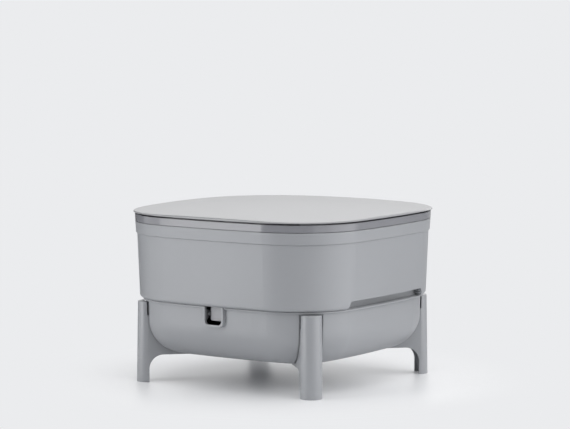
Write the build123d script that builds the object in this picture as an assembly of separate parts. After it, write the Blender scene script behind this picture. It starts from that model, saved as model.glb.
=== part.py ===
from build123d import *
import os
from math import atan2, cos, degrees, radians, sin, sqrt

# Worm composter: a domed lid on a worm tray, nested on a collecting tray that stands on four corner legs.
# Millimetres, +Z up, origin on the floor under the middle. The front, -Y, has the U-shaped tap notch.
# The long hand slots are on +X and -X.

# Plan outline of the lid: four shallow side arcs joined by four corner arcs
lid_half = 192.5
side_radius = 1070
corner_radius = 110

# Shells and the gaps between them
wall = 3
shell_gap = 0.2
shadow_gap = 0.8
shadow_depth = 2.4
edge_soft = 0.8

# Heights above the floor, each built up from the one below it
tray_underside = 43
tray_height = 80.5
worm_tray_height = 111.7
band_height = 17.2
frame_height = 11.1
plate_gap = 2.5
tray_rim = tray_underside + tray_height
worm_tray_rim = tray_rim + worm_tray_height
band_base = worm_tray_rim - band_height
frame_top = worm_tray_rim + frame_height
plate_base = frame_top + plate_gap

# Half widths of the walls at the middle of a side, each set in from the one above it by its step
joint_step = 2.7
frame_flare = 0.7
band_draft = 1.2
band_step = 1.6
worm_draft = 3.8
lip_step = 4.8
bowl_step = 3.2
bowl_draft = 1.35
joint_half = lid_half - joint_step
frame_half_top = joint_half + frame_flare
band_half_low = joint_half - band_draft
worm_wall_half_top = band_half_low - band_step
worm_wall_half_low = worm_wall_half_top - worm_draft
lip_half = worm_wall_half_low - lip_step
bowl_half_top = lip_half - bowl_step
bowl_half_low = bowl_half_top - bowl_draft

# Lid
plate_corner_edge = 1.57
plate_shell = 2.8
plate_roll = 2.2
plate_rim_wall = 4
dome_radius = 4000
deck = 2.5
stack_ledge_rise = 2
stack_ledge = band_base + stack_ledge_rise
stack_step = 3.8
stack_half = joint_half - stack_step
stack_flare = 0.4
rim_skirt_fit = 0.6
rim_skirt_half = stack_half - rim_skirt_fit
rim_skirt_wall = 2.2
rim_skirt_drop = 6.2
rib_step = 14.5
rib_half = frame_half_top - rib_step
rib_wall = 2
rib_gap = 0.2
lid_screw_step = 26
lid_screw_ring = rib_half - lid_screw_step
lid_screw_count = 8
lid_screw_start = 22.5
lid_screw_radius = 1.75
lid_screw_head_radius = 3.4
lid_screw_head = 2.2
lid_screw_length = 8.5
lid_screw_fit = 0.25
lid_screw_cover = 1.2
lid_screw_round = 0.7
lid_boss_radius = 4.5
vent_slot = (3, 42)
vent_pitch = 9
vent_rows = 5
vent_step = 58
vent_centre = lid_screw_ring - vent_step
corner_spacer = (38, 7)
corner_spacer_inset = 2
corner_spacer_edge = 8.5

# Worm tray: rim band, floor, nesting skirt and hand slots
band_chamfer = 0.9
worm_foot_round = 4.5
drain_hole_radius = 3.5
drain_pitch = 30
drain_reach = 4
nest_fit = 0.6
nest_half = bowl_half_top - wall - nest_fit
nest_wall = 2.4
nest_drop = 10
nest_gap_half = 27
slot_half_low = 100
slot_lean = 5.5
slot_half_top = slot_half_low - slot_lean
slot_height = 11.3
slot_corner = 5
slot_depth = 17
slot_skirt_inset = 5
slot_skirt_half = slot_half_low - slot_skirt_inset
slot_rib = (1.3, 3)
slot_rib_heights = (3.4, 7.2)
slot_rib_share = 0.55

# Collecting tray: lip, rounded underside and the tap notch with its hollow collar
lip_height = 3.4
bowl_round = 50
notch_half = 14.25
notch_drop = 26.1
notch_corner = 5
collar_wall = 3.5
collar_skin = 1.4
collar_front = 2.4
collar_stand = 1.6
collar_reach = lip_half + collar_stand

# Tap lever, pin, lifting rod and stopper
pivot_inset = 8.8
pivot_drop = 12
pivot_y = -(bowl_half_top - pivot_inset)
pivot_z = tray_rim - pivot_drop
pin_radius = 2
pin_half = 22
pin_chamfer = 0.4
fixed_fit = 0.02
running_fit = 0.06
hub_radius = 4.2
sleeve_radius = 2.9
sleeve_half = 16.6
lug_inside = 17.6
lug_wall = 3.5
lug_round = 5.5
lug_corner = 4.9
lug_root = 9
tongue_half = 9.7
tongue_reach = 4.8
tongue_thick = 2.6
tongue_hang = 8.9
tongue_clear = 1
tongue_front = pivot_y - tongue_reach
tongue_bottom = pivot_z - tongue_hang
tongue_top = tray_rim - tongue_clear
tongue_corner = 2.5
arm_length = 36
arm_tilt = 8
arm_width = 10.6
arm_thick = 3.2
arm_corner = 4.8
arm_rib = (2, 26, 4)
arm_slot = (5.8, 7.4)
rod_radius = 2.5
rod_reach = 35.8
rod_rise = 3.6
rod_y = pivot_y + rod_reach
rod_base = tray_underside + rod_rise
cap_radius = 4.5
cap_height = 3.2
cap_play = 0.9
cap_bore_depth = 2.4
cap_round = 0.7
clip_radius = 4
clip_height = 2
outlet_radius = 5.6
outlet_throat = 1.2
seat_radius = 8.2
seat_gap = 0.15
seat_depth = 6
seat_top = tray_underside + seat_depth
stopper_radius = 8
stopper_height = 10
stopper_top = tray_underside + stopper_height
stopper_round = 1.2
stopper_nose_fit = 0.1
strainer_radius = 13.5
strainer_wall = 1.8
strainer_height = 28
strainer_top = tray_underside + strainer_height
strainer_round = 1
strainer_window = (2.6, 14)
strainer_window_drop = 3.5
strainer_windows = 10
strainer_guide_fit = 0.1
ring_height = 8.5
ring_top = tray_underside + ring_height
ring_wall = 1.4
ring_fit = 0.2
ring_gate = 6

# Legs, drawn pointing along +X and then turned to the corners
leg_top_drop = 4.8
leg_stand = 27.4
flank_depth = 0.5
nose_depth_low = 16.3
nose_depth_top = 14.1
leg_top = tray_rim - leg_top_drop
leg_back = bowl_half_top + leg_stand
flank_end = leg_back + flank_depth
leg_nose_low = leg_back + nose_depth_low
leg_nose_top = leg_back + nose_depth_top
leg_half = 15.7
leg_wall = 2.6
leg_edge = 1.2
web_depth = 2.6
web_base = tray_underside - web_depth
web_round = 21
web_reach = 59.6
web_tip = leg_back - web_reach
web_chamfer = 1.2
web_slope = (30, 10)
saddle_rise = 10
saddle_top = tray_underside + saddle_rise
slit_drop = 20
slit_gap = 2.2
slit_base = leg_top - slit_drop
groove_side = 1.4
groove_fit = 0.3
groove_depth = 2
groove_rise = 3
groove_base = tray_underside + groove_rise
flank_entry = 1.4
leg_screw_inset = 7
leg_screw_reach = web_tip + leg_screw_inset
leg_screw_side = 7.5
leg_screw_radius = 1.95
leg_screw_head_radius = 3.6
leg_screw_head = 1.9
leg_screw_length = 11.5
leg_screw_fit = 0.15
screw_tip = (0.6, 1)
screw_fit = 0.05
leg_boss_radius = 4.5
leg_boss_height = 12
leg_boss_top = tray_underside + leg_boss_height
leg_bore_depth = 10
leg_bore_top = tray_underside + leg_bore_depth
recess = (0.9, 4.2, 1.1)

# Where the side arcs' and corner arcs' centres lie, the same for every offset of the outline
side_centre = lid_half - side_radius
arc_step = side_radius - corner_radius
corner_centre = (side_centre + sqrt(2 * arc_step**2 - side_centre**2)) / 2
meet_angle = atan2(corner_centre, corner_centre - side_centre)
corner_reach = corner_centre * sqrt(2) + corner_radius


def arc_point(centre, radius, angle, turn):
    """A point on an arc, turned about the origin by a multiple of a right angle"""
    x = centre[0] + radius * cos(angle)
    y = centre[1] + radius * sin(angle)
    return Vector(x, y).rotate(Axis.Z, turn)


def outline(half):
    """The rounded-square face whose side middles lie at the given half width"""
    inset = lid_half - half
    side_r = side_radius - inset
    corner_r = corner_radius - inset
    quarter = radians(90)
    edges = []
    for turn in (0, 90, 180, 270):
        side = [arc_point((side_centre, 0), side_r, a, turn) for a in (-meet_angle, 0, meet_angle)]
        bend = (meet_angle, quarter / 2, quarter - meet_angle)
        corner = [arc_point((corner_centre, corner_centre), corner_r, a, turn) for a in bend]
        edges.append(Edge.make_three_point_arc(*side))
        edges.append(Edge.make_three_point_arc(*corner))
    return Face(Wire(edges))


def frustum(low, half_low, high, half_high):
    """A solid with the plan outline, drafted from one half width to another"""
    draft = degrees(atan2(half_low - half_high, high - low))
    return extrude(Pos(0, 0, low) * outline(half_low), high - low, taper=draft)


def bowl(grow):
    """The collecting tray's outer body, grown or shrunk by an even offset, with its rounded underside"""
    low = tray_underside - grow
    slope = (bowl_half_top - bowl_half_low) / (tray_rim - lip_height - tray_underside)
    half_low = bowl_half_low + grow
    body = frustum(low, half_low, tray_rim, half_low + slope * (tray_rim - low))
    return fillet(body.edges().group_by(Axis.Z)[0], bowl_round + grow)


def block(x, y, z):
    """A box from its three (low, high) ranges"""
    size = [high - low for low, high in (x, y, z)]
    return Pos(x[0], y[0], z[0]) * Box(*size, align=Align.MIN)


def post(x, y, low, high, radius, top_radius=None):
    """An upright cylinder, or a cone when a second radius is given"""
    place = Pos(x, y, low)
    align = (Align.CENTER, Align.CENTER, Align.MIN)
    if top_radius is None:
        return place * Cylinder(radius, high - low, align=align)
    return place * Cone(radius, top_radius, high - low, align=align)


def upright_plate(points, corners, radius, low, high, across="x"):
    """A plate from a closed (across, z) outline with some corners rounded, between two cross values"""
    face = make_face(Polyline(*points, close=True))
    picked = [face.vertices().sort_by_distance(corner)[0] for corner in corners]
    face = fillet(picked, radius)
    plane = Plane.YZ.offset(low) if across == "y" else Plane.XZ.offset(-high)
    return extrude(plane * face, high - low)


def save(shape, node):
    """Write one node's STEP file"""
    export_step(shape, f"parts/{node}.step")


def cross_recess(x, y, z):
    """The driver recess in the underside of a screw head"""
    width, length, depth = recess
    align = (Align.CENTER, Align.CENTER, Align.MIN)
    return Pos(x, y, z) * (Box(width, length, depth, align=align) + Box(length, width, depth, align=align))


def screw_shank(x, y, low, high, radius):
    """A screw's plain shank with its tapered tip"""
    tip_radius, tip_length = screw_tip
    shoulder = high - tip_length
    return post(x, y, low, shoulder, radius) + post(x, y, shoulder, high, radius, tip_radius)


def upright_ring(half, thick, low, high):
    """A straight-walled ring with the plan outline"""
    ring = extrude(Pos(0, 0, low) * outline(half), high - low)
    return ring - extrude(Pos(0, 0, low) * outline(half - thick), high - low)


def shadow_line(half, low, high):
    """The ring of space that keeps two stacked walls' outer edges apart"""
    reach = collar_reach if half < collar_reach else lid_half
    return upright_ring(reach + 1, reach + 1 - half + shadow_depth, low, high)


def lid_screw_spots():
    """The plan position of the screws that hold the lid together, evenly spaced on a circle"""
    turns = [radians(lid_screw_start + 360 / lid_screw_count * i) for i in range(lid_screw_count)]
    return [(lid_screw_ring * cos(turn), lid_screw_ring * sin(turn)) for turn in turns]


def lid_plate():
    """The thin domed top with its rolled edge and eight screw bosses"""
    crown = plate_base + plate_corner_edge + corner_reach**2 / (2 * dome_radius)
    dome = Pos(0, 0, crown - dome_radius) * Sphere(dome_radius)
    under_dome = Pos(0, 0, crown - dome_radius) * Sphere(dome_radius - plate_shell)
    blank = extrude(Pos(0, 0, plate_base) * outline(lid_half), 2 * (crown - plate_base)) & dome
    rim_edges = blank.edges().filter_by(lambda e: e.bounding_box().min.Z > plate_base + plate_corner_edge / 2)
    blank = fillet(rim_edges, plate_roll)
    hollow = extrude(Pos(0, 0, plate_base - 1) * outline(lid_half - plate_rim_wall), 20) & under_dome
    shell = blank - hollow
    bore_top = crown - plate_shell - lid_screw_cover
    for x, y in lid_screw_spots():
        boss = post(x, y, frame_top, crown - plate_shell, lid_boss_radius) & under_dome
        shell = shell + boss - post(x, y, frame_top, bore_top, lid_screw_radius + screw_fit)
    return shell


def vent_slots():
    """Four groups of narrow air slots through the lid frame's deck"""
    width, length = vent_slot
    slots = []
    for turn in (0, 90, 180, 270):
        for row in range(vent_rows):
            shift = (row - (vent_rows - 1) / 2) * vent_pitch
            slot = extrude(SlotOverall(length, width, rotation=90), deck)
            slots.append(Rot(0, 0, turn) * Pos(vent_centre + shift, 0, frame_top - deck) * slot)
    return slots


def lid_frame():
    """The darker band under the plate: a drafted ring, a slotted deck and a skirt inside the tray"""
    body = frustum(worm_tray_rim, joint_half, frame_top, frame_half_top)
    room_top = frame_top - deck
    body = body - frustum(worm_tray_rim, joint_half - wall, room_top, frame_half_top - wall)
    body = body - shadow_line(joint_half, worm_tray_rim, worm_tray_rim + shadow_gap)
    body = body + upright_ring(rim_skirt_half, rim_skirt_wall, worm_tray_rim - rim_skirt_drop, room_top)
    for turn in (45, 135, 225, 315):
        length, width = corner_spacer
        reach = corner_reach - corner_spacer_edge
        pad = block((reach - width, reach), (-length / 2, length / 2), (frame_top, plate_base))
        edge = Rot(0, 0, 45) * outline(frame_half_top - corner_spacer_inset)
        pad = pad & extrude(Pos(0, 0, frame_top) * edge, deck + 1)
        body = body + Rot(0, 0, turn) * pad
    body = body + upright_ring(rib_half, rib_wall, frame_top, plate_base - rib_gap)
    for x, y in lid_screw_spots():
        body = body - post(x, y, room_top, frame_top, lid_screw_radius + lid_screw_fit)
    return body - vent_slots()


def lid_screws():
    """Eight pan-head screws that hold the plate to the frame from below"""
    screws = []
    head_top = frame_top - deck
    for x, y in lid_screw_spots():
        head = post(x, y, head_top - lid_screw_head, head_top, lid_screw_head_radius)
        head = fillet(head.edges().group_by(Axis.Z)[0], lid_screw_round)
        shank = screw_shank(x, y, head_top, head_top + lid_screw_length, lid_screw_radius)
        screws.append(head + shank - cross_recess(x, y, head_top - lid_screw_head))
    return Compound(children=screws)


def slot_profile(grow):
    """The hand slot's outline in (y, z): wider at the foot, with rounded upper corners"""
    low, top = slot_half_low + grow, slot_half_top + grow
    base, peak = tray_rim - nest_drop, tray_rim + slot_height + grow
    return [(-low, base), (low, base), (low, tray_rim), (top, peak), (-top, peak), (-low, tray_rim)]


def slot_solid(side, inner, outer, grow):
    """The hand slot's space, or the block around it, on one side of the tray"""
    points = slot_profile(grow)
    solid = upright_plate(points, [points[3], points[4]], slot_corner + grow, inner, outer, across="y")
    return solid if side > 0 else Rot(0, 0, 180) * solid


def worm_tray():
    """The tray that holds the worms: drafted walls, a proud rim band, a drilled floor and two hand slots"""
    body = frustum(tray_rim, worm_wall_half_low, band_base, worm_wall_half_top)
    body = fillet(body.edges().group_by(Axis.Z)[0], worm_foot_round)
    outside = body
    band = frustum(band_base, band_half_low, worm_tray_rim, joint_half)
    band = chamfer(band.edges().group_by(Axis.Z)[0], band_chamfer)
    body = body + band
    floor_top = tray_rim + wall
    room = frustum(floor_top, worm_wall_half_low - wall, stack_ledge, worm_wall_half_top - wall)
    room = fillet(room.edges().group_by(Axis.Z)[0], worm_foot_round)
    upper_room = frustum(stack_ledge, stack_half, worm_tray_rim, stack_half + stack_flare)
    body = body - room - upper_room
    back = worm_wall_half_low - slot_depth
    for side in (1, -1):
        block_around = slot_solid(side, back - wall, lid_half, wall)
        block_around = block_around & extrude(Pos(0, 0, tray_rim) * outline(lid_half), 40)
        body = body + (block_around & outside)
    nest_low = tray_rim - nest_drop
    nest = upright_ring(nest_half, nest_wall, nest_low, tray_rim)
    nest = nest - block((-nest_gap_half, nest_gap_half), (-lid_half, 0), (nest_low, tray_rim))
    body = body + nest
    for side in (1, -1):
        skirt = block((back - wall, back), (-slot_skirt_half, slot_skirt_half), (nest_low, tray_rim))
        skirt = skirt if side > 0 else Rot(0, 0, 180) * skirt
        body = body + skirt - slot_solid(side, back, lid_half, 0)
    for side in (1, -1):
        for end in (1, -1):
            for height in slot_rib_heights:
                body = body + slot_end_rib(side, end, height, back)
    spots = [drain_pitch * i for i in range(-drain_reach, drain_reach + 1)]
    holes = [post(x, y, tray_rim, floor_top, drain_hole_radius) for x in spots for y in spots]
    return body - holes


def slot_end_rib(side, end, height, back):
    """One of the thin ribs on the end wall of a hand slot"""
    thick, reach = slot_rib
    lean = (slot_half_low - slot_half_top) * height / slot_height
    edge = slot_half_low - lean
    y_range = (edge - reach, edge + 0.5) if end > 0 else (-edge - 0.5, -edge + reach)
    z_low = tray_rim + height
    x_range = sorted((side * (back - 0.5), side * (back + slot_depth * slot_rib_share)))
    return block(x_range, y_range, (z_low, z_low + thick))


def notch_profile(grow, top):
    """The U-shaped notch's outline in (x, z)"""
    half = notch_half + grow
    low = tray_rim - notch_drop - grow
    return [(-half, low), (half, low), (half, top), (-half, top)]


def notch_solid(grow, top, front, back):
    """The notch's space, or the collar's block, between two y values"""
    points = notch_profile(grow, top)
    return upright_plate(points, points[:2], notch_corner + grow, front, back)


def collecting_tray():
    """The bowl-bottomed tray that catches the liquid, with its lip, tap notch, pivot lugs and leg bosses"""
    inside = bowl(-wall)
    body = bowl(0)
    lip = extrude(Pos(0, 0, tray_rim - lip_height) * outline(lip_half), lip_height)
    lip = fillet(lip.edges().filter_by(GeomType.LINE, reverse=True).group_by(Axis.Z)[0], edge_soft)
    body = body + lip
    collar = notch_solid(collar_wall, tray_rim, -collar_reach, -bowl_half_low)
    front_edges = collar.edges().group_by(Axis.Y)[0]
    straight_top = front_edges.sort_by(Axis.Z)[-1]
    collar = fillet([e for e in front_edges if e.center().Z < straight_top.center().Z - 0.1], edge_soft)
    back = -bowl_half_low + 2 * wall
    body = body + collar - inside
    body = body - notch_solid(0, tray_rim + 1, -collar_reach - 1, back)
    body = body - notch_solid(collar_wall - collar_skin, tray_rim + 1, -collar_reach + collar_front, back)
    body = body - shadow_line(lip_half, tray_rim - shadow_gap, tray_rim)
    for side in (1, -1):
        body = body + pivot_lug(side)
    for spot in leg_screw_spots():
        body = body + post(*spot, tray_underside + 1, leg_boss_top, leg_boss_radius)
        body = body - post(*spot, tray_underside - 1, leg_bore_top, leg_screw_radius + screw_fit)
    slabs = flank_slabs(leg_half - leg_wall - groove_fit, leg_half + groove_side, groove_base)
    slabs = slabs - Rot(0, 0, 45) * bowl(-groove_depth)
    for turn in (45, 135, 225, 315):
        body = body - Rot(0, 0, turn) * slabs
    body = body + outlet_ring(inside)
    outlet = post(0, rod_y, tray_underside - 1, tray_underside + wall, outlet_radius)
    return body - outlet - seat_cone()


def seat_cone():
    """The conical seat around the outlet"""
    low = tray_underside + outlet_throat
    high = low + seat_radius - outlet_radius
    return post(0, rod_y, low, high, outlet_radius, seat_radius) + post(0, rod_y, high, seat_top, seat_radius)


def outlet_ring(inside):
    """The low gated ring on the tray's floor that locates the strainer"""
    outer = strainer_radius - strainer_wall - ring_fit
    ring = post(0, rod_y, tray_underside + 1, ring_top, outer)
    ring = ring - post(0, rod_y, tray_underside, ring_top, outer - ring_wall)
    gates = []
    for turn in (0, 90):
        gate = Box(2 * outer + 2, ring_gate, ring_top, align=(Align.CENTER, Align.CENTER, Align.MIN))
        gates.append(Pos(0, rod_y, 0) * Rot(0, 0, turn) * gate)
    return (ring - gates) & inside


def pivot_lug(side):
    """An ear on the inside of the front wall that carries the lever's pin"""
    front = -bowl_half_low + 1
    back = pivot_y + lug_round
    top = pivot_z + lug_round
    points = [(front, pivot_z - lug_root), (back, pivot_z - lug_round), (back, top), (front, top)]
    low, high = sorted((side * lug_inside, side * (lug_inside + lug_wall)))
    lug = upright_plate(points, points[1:3], lug_corner, low, high, across="y")
    return lug - pin_bore(pin_radius + fixed_fit)


def pin_bore(radius, half=40):
    """A cylinder along X on the lever's pivot"""
    return Pos(0, pivot_y, pivot_z) * Rot(0, 90, 0) * Cylinder(radius, 2 * half)


def drain_lever():
    """The lever: a tongue seen in the notch, a hub on the pin and a slotted arm that lifts the rod"""
    half = tongue_half
    points = [(-half, tongue_bottom), (half, tongue_bottom), (half, tongue_top), (-half, tongue_top)]
    tongue = upright_plate(points, points[:2], tongue_corner, tongue_front, tongue_front + tongue_thick)
    hub = pin_bore(hub_radius, tongue_half) + pin_bore(sleeve_radius, sleeve_half)
    arm = Box(arm_width, arm_length + arm_width / 2, arm_thick, align=(Align.CENTER, Align.MIN, Align.CENTER))
    arm = fillet(arm.edges().filter_by(Axis.Z).group_by(Axis.Y)[-1], arm_corner)
    slot_width, slot_length = arm_slot
    slot = extrude(SlotOverall(slot_length, slot_width, rotation=90), 2 * arm_thick)
    stiffener = Box(*arm_rib, align=(Align.CENTER, Align.MIN, Align.MAX))
    arm = arm + stiffener - Pos(0, arm_length, -arm_thick) * slot
    arm = Pos(0, pivot_y, pivot_z) * Rot(-arm_tilt, 0, 0) * arm
    return tongue + hub + arm - pin_bore(pin_radius + running_fit)


def lever_pin():
    """The steel pin through both ears and the lever's hub"""
    pin = pin_bore(pin_radius, pin_half)
    return chamfer(pin.edges().filter_by(GeomType.CIRCLE), pin_chamfer)


def arm_clear(side):
    """Height just clear of the tilted arm where the rod passes through it, above it (1) or below it (-1)"""
    middle = pivot_z - arm_length * sin(radians(arm_tilt))
    return middle + side * (arm_thick / 2 / cos(radians(arm_tilt)) + cap_play)


def drain_rod():
    """The upright rod from the stopper to the cap"""
    return post(0, rod_y, rod_base, arm_clear(1) + cap_bore_depth, rod_radius)


def rod_cap():
    """The round cap that the arm lifts by"""
    low = arm_clear(1)
    cap = post(0, rod_y, low, low + cap_height, cap_radius)
    cap = fillet(cap.edges().group_by(Axis.Z)[-1], cap_round)
    return cap - post(0, rod_y, low, low + cap_bore_depth, rod_radius)


def rod_clip():
    """The ring on the rod just below the arm, which holds the lever level when the outlet is closed"""
    high = arm_clear(-1)
    ring = post(0, rod_y, high - clip_height, high, clip_radius)
    return ring - post(0, rod_y, high - clip_height, high, rod_radius)


def drain_stopper():
    """The rubber cone that closes the outlet"""
    low = tray_underside + outlet_throat + seat_gap
    shoulder = low + seat_radius - outlet_radius
    body = post(0, rod_y, shoulder, stopper_top, stopper_radius)
    body = fillet(body.edges().group_by(Axis.Z)[-1], stopper_round)
    cone = post(0, rod_y, low, shoulder, outlet_radius - stopper_nose_fit, stopper_radius)
    return cone + body - post(0, rod_y, rod_base, stopper_top, rod_radius)


def drain_strainer():
    """The slotted cage over the outlet, which also guides the rod"""
    room = bowl(-wall - shell_gap)
    inner = strainer_radius - strainer_wall
    cage = post(0, rod_y, tray_underside, strainer_top, strainer_radius)
    cage = fillet(cage.edges().group_by(Axis.Z)[-1], strainer_round)
    cage = cage - post(0, rod_y, tray_underside, strainer_top - strainer_wall, inner)
    cage = (cage & room) - post(0, rod_y, tray_underside, strainer_top, rod_radius + strainer_guide_fit)
    width, height = strainer_window
    window = Box(strainer_radius + 2, width, height, align=(Align.MIN, Align.CENTER, Align.MIN))
    turns = [360 / strainer_windows * i for i in range(strainer_windows)]
    window_base = strainer_top - height - strainer_window_drop
    windows = [Pos(0, rod_y, window_base) * Rot(0, 0, turn) * window for turn in turns]
    return cage - windows


def leg_section(nose, half, back):
    """The leg's plan: two straight flanks from the back to the flank end, closed by a round nose"""
    edges = [
        Edge.make_line((back, half), (back, -half)),
        Edge.make_line((back, -half), (flank_end, -half)),
        Edge.make_three_point_arc((flank_end, -half), (nose, 0), (flank_end, half)),
        Edge.make_line((flank_end, half), (back, half)),
    ]
    return Wire(edges)


def leg_web():
    """The side profile of a leg's web, which reaches in under the bowl, in (radius, z)"""
    centre = (leg_back - web_round, web_base - web_round)
    mid = web_round * cos(radians(45))
    curve = Edge.make_three_point_arc(
        (leg_back, centre[1]), (centre[0] + mid, centre[1] + mid), (centre[0], web_base))
    overlap = leg_back + leg_wall
    slope_in, slope_down = web_slope
    points = [
        (centre[0], web_base), (web_tip + web_chamfer, web_base), (web_tip, web_base + web_chamfer),
        (web_tip, tray_underside + wall), (leg_back - slope_in, leg_top - slope_down),
        (overlap, leg_top - slope_down), (overlap, centre[1]), (leg_back, centre[1]),
    ]
    lines = [Edge.make_line(a, b) for a, b in zip(points, points[1:])]
    face = Face(Wire([curve] + lines))
    return extrude(Plane.XZ * face, leg_half, both=True)


def flank_slabs(inner, outer, base):
    """The two upright slabs that hold a leg's flank walls, for a leg along +X"""
    reach = (web_tip, leg_nose_low)
    return block(reach, (inner, outer), (base, leg_top)) + block(reach, (-outer, -inner), (base, leg_top))


def leg():
    """One leg along +X: a hollow channel, two webs that enter the bowl's grooves, and the bowl's saddle"""
    grows = (shell_gap, tray_underside - web_base, -flank_entry, slit_gap)
    keep_out, saddle_skin, entry_stop, slit_skin = [Rot(0, 0, 45) * bowl(grow) for grow in grows]
    foot = leg_section(leg_nose_low, leg_half, leg_back)
    head = Pos(0, 0, leg_top) * leg_section(leg_nose_top, leg_half, leg_back)
    body = Solid.make_loft([foot, head], ruled=True)
    body = fillet(body.edges().group_by(Axis.Z)[-1].sort_by(Axis.X)[1:], leg_edge)
    inner_half = leg_half - leg_wall
    room_top = leg_top - leg_wall
    lean = (leg_nose_low - leg_nose_top) / leg_top
    room_low = leg_section(leg_nose_low - leg_wall, inner_half, web_tip - 1)
    room_high = leg_section(leg_nose_low - leg_wall - lean * room_top, inner_half, web_tip - 1)
    room = Solid.make_loft([room_low, Pos(0, 0, room_top) * room_high], ruled=True)
    body = body + leg_web() - room
    saddle = saddle_skin & block((web_tip, leg_back + 1), (-leg_half, leg_half), (web_base - 1, saddle_top))
    flanks = flank_slabs(leg_half - leg_wall, leg_half, groove_base + groove_fit)
    body = body + saddle - (keep_out - flanks) - entry_stop
    above = block((0, leg_nose_low), (-leg_half, leg_half), (slit_base, leg_top))
    body = body - (slit_skin & above)
    head_top = web_base + leg_screw_head
    for side in (leg_screw_side, -leg_screw_side):
        hole = post(leg_screw_reach, side, web_base - 1, tray_underside + 1, leg_screw_radius + leg_screw_fit)
        sink = post(leg_screw_reach, side, web_base, head_top, leg_screw_head_radius, leg_screw_radius)
        body = body - (hole + sink)
    return body


def leg_screw_spots():
    """The plan position of the two screws in each corner"""
    spots = []
    for turn in (45, 135, 225, 315):
        for side in (leg_screw_side, -leg_screw_side):
            spot = Vector(leg_screw_reach, side).rotate(Axis.Z, turn)
            spots.append((spot.X, spot.Y))
    return spots


def leg_screws():
    """Eight countersunk screws, two up through each saddle into the tray's bosses"""
    screws = []
    head_top = web_base + leg_screw_head
    for x, y in leg_screw_spots():
        head = post(x, y, web_base, head_top, leg_screw_head_radius - screw_fit, leg_screw_radius - screw_fit)
        shank = screw_shank(x, y, head_top, web_base + leg_screw_length, leg_screw_radius)
        screws.append(head + shank - cross_recess(x, y, web_base))
    return Compound(children=screws)


def main():
    os.makedirs("parts", exist_ok=True)
    save(lid_plate(), "lid_plate")
    save(lid_frame(), "lid_frame")
    save(lid_screws(), "lid_screws")
    save(worm_tray(), "worm_tray")
    save(collecting_tray(), "collecting_tray")
    one_leg = leg()
    corners = {"rear_right": 45, "rear_left": 135, "front_left": 225, "front_right": 315}
    for name, turn in corners.items():
        save(Rot(0, 0, turn) * one_leg, f"leg_{name}")
    save(leg_screws(), "leg_screws")
    save(drain_lever(), "drain_lever")
    save(lever_pin(), "lever_pin")
    save(drain_rod(), "drain_rod")
    save(rod_cap(), "rod_cap")
    save(rod_clip(), "rod_clip")
    save(drain_stopper(), "drain_stopper")
    save(drain_strainer(), "drain_strainer")


main()
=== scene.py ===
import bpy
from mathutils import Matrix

bl_info = {
    "name": "Worm Composter",
    "version": (1, 0, 0),
    "blender": (4, 5, 0),
    "location": "View3D > Sidebar > Composter",
    "description": "Gives a stacking worm composter its moulded finishes, in a plain studio",
    "category": "Object",
}

import math

import bpy
from mathutils import Vector

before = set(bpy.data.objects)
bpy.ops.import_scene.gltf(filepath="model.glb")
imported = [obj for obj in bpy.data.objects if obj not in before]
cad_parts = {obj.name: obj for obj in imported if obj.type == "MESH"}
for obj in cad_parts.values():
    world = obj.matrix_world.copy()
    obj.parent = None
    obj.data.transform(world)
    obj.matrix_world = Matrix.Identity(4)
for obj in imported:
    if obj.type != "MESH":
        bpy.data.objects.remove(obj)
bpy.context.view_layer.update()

MM = 0.001

# Refraction of the plastics, and the size of the slow change in their tone
PLASTIC_IOR = 1.49
DRIFT_SIZE = 90 * MM

# The part of the grain's noise that changes a plastic's roughness, and how far below and above its own
# value the roughness goes
GRAIN_SPREAD = (0.3, 0.7)
SMOOTHER = 0.03
ROUGHER = 0.05

# Streaks on the steel, drawn out upwards because their place's Z is shrunk to a share
STREAK_SIZE = 0.4 * MM
STREAK_DEPTH = 0.01 * MM
STREAK_SHRINK = 0.04
STEEL_ROUGHNESS = (0.2, 0.38)

# Mottle on the rubber, and how much lighter its pale spots are
MOTTLE_SIZE = 1.5 * MM
MOTTLE_DEPTH = 0.03 * MM
MOTTLE_LIGHTER = 1.8
RUBBER_ROUGHNESS = (0.55, 0.75)

# Distances from the floor's middle in metres: where the camera stops seeing it, and where reflections do
SEEN_FADE = (0.14, 0.38)
REFLECTED_FADE = (0.35, 0.7)

# The surround's strength as a light by compass direction in degrees, 0 in front and positive to the right
LOW_LIGHT = (
    (-180, 0.9), (-168, 1.34), (-156, 1.05), (-136, 1.05), (-128, 0), (-88, 0), (-84, 1.5), (-48, 1.7),
    (-45, 6.0), (-25, 6.0), (-22, 0.3), (-14, 0), (54, 0), (60, 1.7), (82, 1.8), (88, 2.9), (108, 3.1),
    (128, 3.1), (136, 1.0), (154, 0.9), (160, 0.3), (180, 0.9))
HIGH_LIGHT = (
    (-180, 1.0), (-170, 0), (-6, 0), (6, 2.25), (82, 2.25), (98, 1.1), (170, 1.1), (180, 1.0))
CEILING_LIGHT = 1.87

# Elevations in degrees where the low light gives way to the high one, and that to the ceiling
LOW_TO_HIGH = (34, 42)
HIGH_TO_CEILING = (62, 70)

# Behind the object, where a direction's Y is large, the low light also grows with elevation
BEHIND_Y = (0.6, 0.8)
BEHIND_ELEVATIONS = (2, 14)
BEHIND_SHARES = (0.45, 2.1)

# In millimetres, as the camera takes it
SENSOR_WIDTH = 36


def linear(code):
    """The linear colour of an sRGB hex code, with full alpha"""
    parts = [int(code[i:i + 2], 16) / 255 for i in (0, 2, 4)]
    return [c / 12.92 if c <= 0.04045 else ((c + 0.055) / 1.055) ** 2.4 for c in parts] + [1.0]


def sine(degrees):
    """How high a direction at an elevation points, as its Z"""
    return math.sin(math.radians(degrees))


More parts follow.
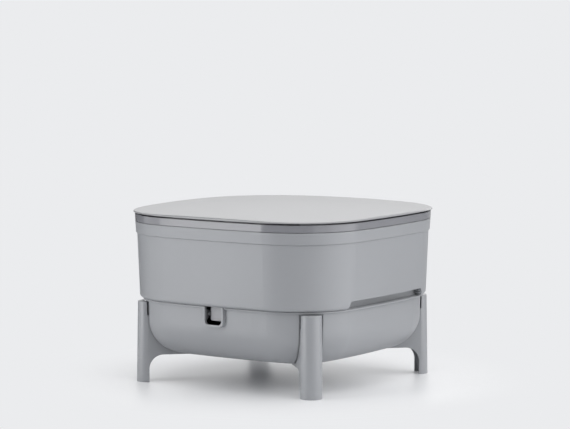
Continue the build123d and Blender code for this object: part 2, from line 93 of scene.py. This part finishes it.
def add_node(tree, kind, inputs=None, **settings):
    """Adds a node with its settings, and gives its inputs their values or links"""
    node = tree.nodes.new(kind)
    for name, value in settings.items():
        setattr(node, name, value)
    for socket, value in (inputs or {}).items():
        if isinstance(value, bpy.types.NodeSocket):
            tree.links.new(value, node.inputs[socket])
        else:
            node.inputs[socket].default_value = value
    return node


def add_shader(tree, kind, inputs=None):
    """Adds a shader node and returns what it gives"""
    return add_node(tree, kind, inputs).outputs[0]


def mix_shaders(tree, share, first, second):
    """The first shader at share 0 and the second at share 1"""
    return add_shader(tree, "ShaderNodeMixShader", {0: share, 1: first, 2: second})


def mix_numbers(tree, share, first, second):
    """The first number at share 0 and the second at share 1"""
    return add_node(tree, "ShaderNodeMix", {0: share, 2: first, 3: second}).outputs[0]


def mix_colours(tree, share, first, second):
    """The first colour at share 0 and the second at share 1"""
    inputs = {0: share, 6: first, 7: second}
    return add_node(tree, "ShaderNodeMix", inputs, data_type="RGBA").outputs[2]


def calculate(tree, operation, first, second):
    """The result of one operation on two numbers"""
    return add_node(tree, "ShaderNodeMath", {0: first, 1: second}, operation=operation).outputs[0]


def stretch(tree, value, start, end, low, high):
    """Goes evenly from low to high as a value goes from start to end"""
    inputs = {"Value": value, "From Min": start, "From Max": end, "To Min": low, "To Max": high}
    return add_node(tree, "ShaderNodeMapRange", inputs).outputs["Result"]


def ease(tree, value, start, end):
    """0 up to start and 1 from end, with a smooth step between them"""
    inputs = {"Value": value, "From Min": start, "From Max": end}
    return add_node(tree, "ShaderNodeMapRange", inputs, interpolation_type="SMOOTHSTEP").outputs["Result"]


def own_place(tree):
    """A surface point's place in its object's own coordinates"""
    return add_node(tree, "ShaderNodeTexCoord").outputs["Object"]


def noise(tree, place, size, detail, roughness=0.5):
    """Even noise with features of about a size"""
    inputs = {"Vector": place, "Scale": 1 / size, "Detail": detail, "Roughness": roughness}
    return add_node(tree, "ShaderNodeTexNoise", inputs).outputs["Fac"]


def colour_setting(name, description, code):
    """A colour that the user may change, given as sRGB hex"""
    return bpy.props.FloatVectorProperty(
        name=name, description=description, subtype="COLOR", size=4, min=0, max=1, default=linear(code))


def length_setting(name, description, millimetres):
    """A length that the user may change"""
    return bpy.props.FloatProperty(
        name=name, description=description, unit="LENGTH", min=0, precision=5, default=millimetres * MM)


def angle_setting(name, description, degrees):
    """An angle that the user may change"""
    return bpy.props.FloatProperty(
        name=name, description=description, subtype="ANGLE", unit="ROTATION",
        default=math.radians(degrees))


class ComposterFinish(bpy.types.PropertyGroup):
    """Colours and surface sizes of the composter's materials"""
    lid: colour_setting("Lid", "Moulded top plate", "97989B")
    band: colour_setting("Band", "Glossier band under the plate", "85868B")
    tray: colour_setting("Trays", "Worm tray and collecting tray", "9A9CA0")
    leg: colour_setting("Legs", "The four corner legs", "999B9F")
    lever: colour_setting("Lever", "Drain lever, rod cap, clip and strainer", "9C9DA1")
    steel: colour_setting("Steel", "Screws, pin and rod", "C9C7C2")
    rubber: colour_setting("Rubber", "Stopper", "1B1B1C")
    grain: length_setting("Grain", "Size of the texture grain moulded into the plastic", 0.9)
    grain_depth: length_setting("Grain depth", "Depth of the moulded texture grain", 0.02)
    edge: length_setting("Edge", "Radius by which the plastic's edges look rounded", 0.5)


class ComposterStudio(bpy.types.PropertyGroup):
    """The camera and the stage"""
    azimuth: angle_setting("Azimuth", "Camera's turn from the front towards the right", 34.05)
    elevation: angle_setting("Elevation", "Camera's height as an angle", 5.48)
    distance: length_setting("Distance", "From the camera to the point it looks at", 3912.7)
    aim: bpy.props.FloatVectorProperty(
        name="Aim", description="Point in the middle of the picture",
        subtype="XYZ", unit="LENGTH", default=(0.0016, 0.0011, 0.2411))
    lens: bpy.props.FloatProperty(
        name="Lens", description="Focal length on a 36 mm wide sensor", unit="CAMERA", default=167.8)
    backdrop: colour_setting("Backdrop", "Pale surround that the camera sees", "EBECEE")
    floor: colour_setting("Floor", "Pale floor near the object", "EDEEF0")
    floor_size: length_setting("Floor size", "Width of the floor", 30000)
    level: bpy.props.FloatProperty(
        name="Level", description="Overall strength of the surround as a light", min=0, default=0.82)


def new_material(name):
    """An empty node material and its tree"""
    material = bpy.data.materials.new(name)
    material.use_nodes = True
    material.node_tree.nodes.clear()
    return material, material.node_tree


def put_surface(tree, inputs):
    """Ends a material in one principled surface"""
    shader = add_shader(tree, "ShaderNodeBsdfPrincipled", inputs)
    add_node(tree, "ShaderNodeOutputMaterial", {"Surface": shader})


def moulded_plastic(name, colour, finish, roughness, tone, depth_share=1.0):
    """Injection-moulded plastic: a fine even grain, soft edges and a slowly drifting tone"""
    material, tree = new_material(name)
    place = own_place(tree)
    drift = noise(tree, place, DRIFT_SIZE, detail=3, roughness=0.45)
    dark = [c * (1 - tone) for c in colour[:3]] + [1]
    pale = [min(1, c * (1 + tone)) for c in colour[:3]] + [1]
    grain = noise(tree, place, finish.grain, detail=2, roughness=0.6)
    edges = add_node(tree, "ShaderNodeBevel", {"Radius": finish.edge}, samples=4)
    relief = add_node(tree, "ShaderNodeBump", {
        "Height": grain, "Strength": 0.35, "Distance": depth_share * finish.grain_depth,
        "Normal": edges.outputs["Normal"]})
    put_surface(tree, {
        "Base Color": mix_colours(tree, drift, dark, pale),
        "Roughness": stretch(tree, grain, *GRAIN_SPREAD, roughness - SMOOTHER, roughness + ROUGHER),
        "Normal": relief.outputs["Normal"],
        "IOR": PLASTIC_IOR})
    return material


def drawn_stainless_steel(colour):
    """Cold-drawn stainless steel: bright, with soft streaks that run upwards"""
    material, tree = new_material("drawn_stainless_steel")
    along = add_node(tree, "ShaderNodeMapping", {
        "Vector": own_place(tree), "Scale": (1, 1, STREAK_SHRINK)})
    streaks = noise(tree, along.outputs["Vector"], STREAK_SIZE, detail=2)
    relief = add_node(tree, "ShaderNodeBump", {
        "Height": streaks, "Strength": 0.2, "Distance": STREAK_DEPTH})
    put_surface(tree, {
        "Base Color": colour,
        "Metallic": 1,
        "Roughness": stretch(tree, streaks, 0, 1, *STEEL_ROUGHNESS),
        "Normal": relief.outputs["Normal"]})
    return material


def moulded_rubber(colour):
    """Compression-moulded nitrile rubber: nearly black, with a soft sheen and slight mottling"""
    material, tree = new_material("moulded_nitrile_rubber")
    mottle = noise(tree, own_place(tree), MOTTLE_SIZE, detail=3)
    light = [c * MOTTLE_LIGHTER for c in colour[:3]] + [1]
    relief = add_node(tree, "ShaderNodeBump", {
        "Height": mottle, "Strength": 0.3, "Distance": MOTTLE_DEPTH})
    put_surface(tree, {
        "Base Color": mix_colours(tree, mottle, colour, light),
        "Roughness": stretch(tree, mottle, 0, 1, *RUBBER_ROUGHNESS),
        "Normal": relief.outputs["Normal"]})
    return material


def dress(material, *nodes):
    """Gives CAD nodes a material"""
    for name in nodes:
        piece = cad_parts[name]
        piece.data.materials.clear()
        piece.data.materials.append(material)


class COMPOSTER_OT_finish_lid(bpy.types.Operator):
    """Finish the domed plate and the band under it"""
    bl_idname = "composter.finish_lid"
    bl_label = "Finish lid"

    def execute(self, context):
        finish = context.scene.composter_finish
        plate = moulded_plastic("satin_moulded_abs", finish.lid, finish, roughness=0.32, tone=0.02)
        band = moulded_plastic(
            "glossy_moulded_abs", finish.band, finish, roughness=0.12, tone=0.02, depth_share=0.3)
        dress(plate, "lid_plate")
        dress(band, "lid_frame")
        return {"FINISHED"}


class COMPOSTER_OT_finish_trays(bpy.types.Operator):
    """Finish the worm tray and the collecting tray"""
    bl_idname = "composter.finish_trays"
    bl_label = "Finish trays"

    def execute(self, context):
        finish = context.scene.composter_finish
        textured = moulded_plastic(
            "textured_moulded_polypropylene", finish.tray, finish, roughness=0.4, tone=0.025)
        dress(textured, "worm_tray", "collecting_tray")
        return {"FINISHED"}


class COMPOSTER_OT_finish_legs(bpy.types.Operator):
    """Finish the four legs"""
    bl_idname = "composter.finish_legs"
    bl_label = "Finish legs"

    def execute(self, context):
        finish = context.scene.composter_finish
        plain = moulded_plastic(
            "leg_moulded_polypropylene", finish.leg, finish, roughness=0.3, tone=0.025)
        dress(plain, "leg_front_left", "leg_front_right", "leg_rear_left", "leg_rear_right")
        return {"FINISHED"}


class COMPOSTER_OT_finish_drain(bpy.types.Operator):
    """Finish the drain's pieces, the lever's pin and all the screws"""
    bl_idname = "composter.finish_drain"
    bl_label = "Finish drain"

    def execute(self, context):
        finish = context.scene.composter_finish
        acetal = moulded_plastic(
            "moulded_acetal", finish.lever, finish, roughness=0.36, tone=0.02, depth_share=0.4)
        dress(acetal, "drain_lever", "rod_cap", "rod_clip", "drain_strainer")
        dress(moulded_rubber(finish.rubber), "drain_stopper")
        dress(drawn_stainless_steel(finish.steel), "lever_pin", "drain_rod", "lid_screws", "leg_screws")
        return {"FINISHED"}


def stage_floor(studio):
    """The floor: pale and slightly glossy near the object. Further out it fades to the backdrop's
    colour for the camera, and reflections look past it to the surround"""
    bpy.ops.object.select_all(action="DESELECT")
    bpy.ops.mesh.primitive_plane_add(size=studio.floor_size, location=(0, 0, 0))
    floor = bpy.context.active_object
    floor.name = "floor"
    material, tree = new_material("pale_studio_floor")
    length = add_node(tree, "ShaderNodeVectorMath", {0: own_place(tree)}, operation="LENGTH")
    reach = length.outputs["Value"]
    rays = add_node(tree, "ShaderNodeLightPath").outputs
    hidden = calculate(tree, "MULTIPLY", ease(tree, reach, *SEEN_FADE), rays["Is Camera Ray"])
    passed = calculate(tree, "MULTIPLY", ease(tree, reach, *REFLECTED_FADE), rays["Is Glossy Ray"])
    surface = add_shader(tree, "ShaderNodeBsdfPrincipled", {
        "Base Color": studio.floor, "Roughness": 0.35, "Specular IOR Level": 0.25})
    glow = add_shader(tree, "ShaderNodeEmission", {"Color": studio.backdrop, "Strength": 1})
    beyond = add_shader(tree, "ShaderNodeBsdfTransparent")
    near = mix_shaders(tree, hidden, surface, glow)
    add_node(tree, "ShaderNodeOutputMaterial", {"Surface": mix_shaders(tree, passed, near, beyond)})
    floor.data.materials.append(material)


def by_azimuth(tree, turn, stops):
    """A strength that changes with the compass direction, from stops of (degrees, strength)"""
    peak = max(strength for _, strength in stops)
    ramp = add_node(tree, "ShaderNodeValToRGB", {"Fac": turn})
    ramp.color_ramp.interpolation = "LINEAR"
    elements = ramp.color_ramp.elements
    ready = len(elements)
    for i, (degrees, strength) in enumerate(stops):
        place = (degrees + 180) / 360
        element = elements[i] if i < ready else elements.new(place)
        element.position = place
        element.color = (strength / peak, strength / peak, strength / peak, 1)
    return calculate(tree, "MULTIPLY", ramp.outputs["Color"], peak)


def stage_world(studio):
    """The surround as a light: softboxes to the left and right, a dark camera side and a soft ceiling.
    The camera sees the backdrop's colour instead"""
    world = bpy.data.worlds.new("studio")
    bpy.context.scene.world = world
    world.use_nodes = True
    tree = world.node_tree
    tree.nodes.clear()
    direction = add_node(tree, "ShaderNodeTexCoord").outputs["Generated"]
    axes = add_node(tree, "ShaderNodeSeparateXYZ", {"Vector": direction}).outputs
    front = calculate(tree, "MULTIPLY", axes["Y"], -1)
    angle = calculate(tree, "ARCTAN2", axes["X"], front)
    turn = stretch(tree, angle, -math.pi, math.pi, 0, 1)
    rise = stretch(tree, axes["Z"], *map(sine, BEHIND_ELEVATIONS), *BEHIND_SHARES)
    rise = mix_numbers(tree, ease(tree, axes["Y"], *BEHIND_Y), 1.0, rise)
    low = calculate(tree, "MULTIPLY", by_azimuth(tree, turn, LOW_LIGHT), rise)
    high = by_azimuth(tree, turn, HIGH_LIGHT)
    above_low = ease(tree, axes["Z"], *map(sine, LOW_TO_HIGH))
    above_high = ease(tree, axes["Z"], *map(sine, HIGH_TO_CEILING))
    strength = mix_numbers(tree, above_low, low, high)
    strength = mix_numbers(tree, above_high, strength, CEILING_LIGHT)
    strength = calculate(tree, "MULTIPLY", strength, studio.level)
    rays = add_node(tree, "ShaderNodeLightPath").outputs
    seen = calculate(tree, "MAXIMUM", rays["Is Camera Ray"], rays["Is Transmission Ray"])
    light = add_shader(tree, "ShaderNodeBackground", {"Color": (1, 1, 1, 1), "Strength": strength})
    shown = add_shader(tree, "ShaderNodeBackground", {"Color": studio.backdrop, "Strength": 1})
    add_node(tree, "ShaderNodeOutputWorld", {"Surface": mix_shaders(tree, seen, light, shown)})


class COMPOSTER_OT_stage(bpy.types.Operator):
    """Add the floor and the studio surround"""
    bl_idname = "composter.stage"
    bl_label = "Stage"

    def execute(self, context):
        studio = context.scene.composter_studio
        stage_floor(studio)
        stage_world(studio)
        context.scene.view_settings.view_transform = "Standard"
        return {"FINISHED"}


class COMPOSTER_OT_camera(bpy.types.Operator):
    """Add the camera at the photograph's angle"""
    bl_idname = "composter.camera"
    bl_label = "Camera"

    def execute(self, context):
        studio = context.scene.composter_studio
        level = math.cos(studio.elevation)
        sideways = math.sin(studio.azimuth) * level
        forwards = -math.cos(studio.azimuth) * level
        back = Vector((sideways, forwards, math.sin(studio.elevation)))
        camera = bpy.data.objects.new("camera", bpy.data.cameras.new("camera"))
        context.scene.collection.objects.link(camera)
        camera.location = Vector(studio.aim) + back * studio.distance
        camera.rotation_euler = (-back).to_track_quat("-Z", "Y").to_euler()
        camera.data.sensor_width = SENSOR_WIDTH
        camera.data.lens = studio.lens
        context.scene.camera = camera
        return {"FINISHED"}


OPERATORS = (
    COMPOSTER_OT_finish_lid, COMPOSTER_OT_finish_trays, COMPOSTER_OT_finish_legs,
    COMPOSTER_OT_finish_drain, COMPOSTER_OT_stage, COMPOSTER_OT_camera,
)


class COMPOSTER_PT_panel(bpy.types.Panel):
    """The composter's finishes and studio"""
    bl_label = "Worm composter"
    bl_idname = "COMPOSTER_PT_panel"
    bl_space_type = "VIEW_3D"
    bl_region_type = "UI"
    bl_category = "Composter"

    def draw(self, context):
        for group in (context.scene.composter_finish, context.scene.composter_studio):
            for name in group.bl_rna.properties.keys():
                if name not in ("rna_type", "name"):
                    self.layout.prop(group, name)
        for operator in OPERATORS:
            self.layout.operator(operator.bl_idname)


CLASSES = (ComposterFinish, ComposterStudio) + OPERATORS + (COMPOSTER_PT_panel,)


def register():
    for item in CLASSES:
        bpy.utils.register_class(item)
    bpy.types.Scene.composter_finish = bpy.props.PointerProperty(type=ComposterFinish)
    bpy.types.Scene.composter_studio = bpy.props.PointerProperty(type=ComposterStudio)


def unregister():
    del bpy.types.Scene.composter_studio
    del bpy.types.Scene.composter_finish
    for item in reversed(CLASSES):
        bpy.utils.unregister_class(item)


def main():
    register()
    bpy.ops.composter.finish_lid()
    bpy.ops.composter.finish_trays()
    bpy.ops.composter.finish_legs()
    bpy.ops.composter.finish_drain()
    bpy.ops.composter.stage()
    bpy.ops.composter.camera()


if __name__ == "__main__":
    main()
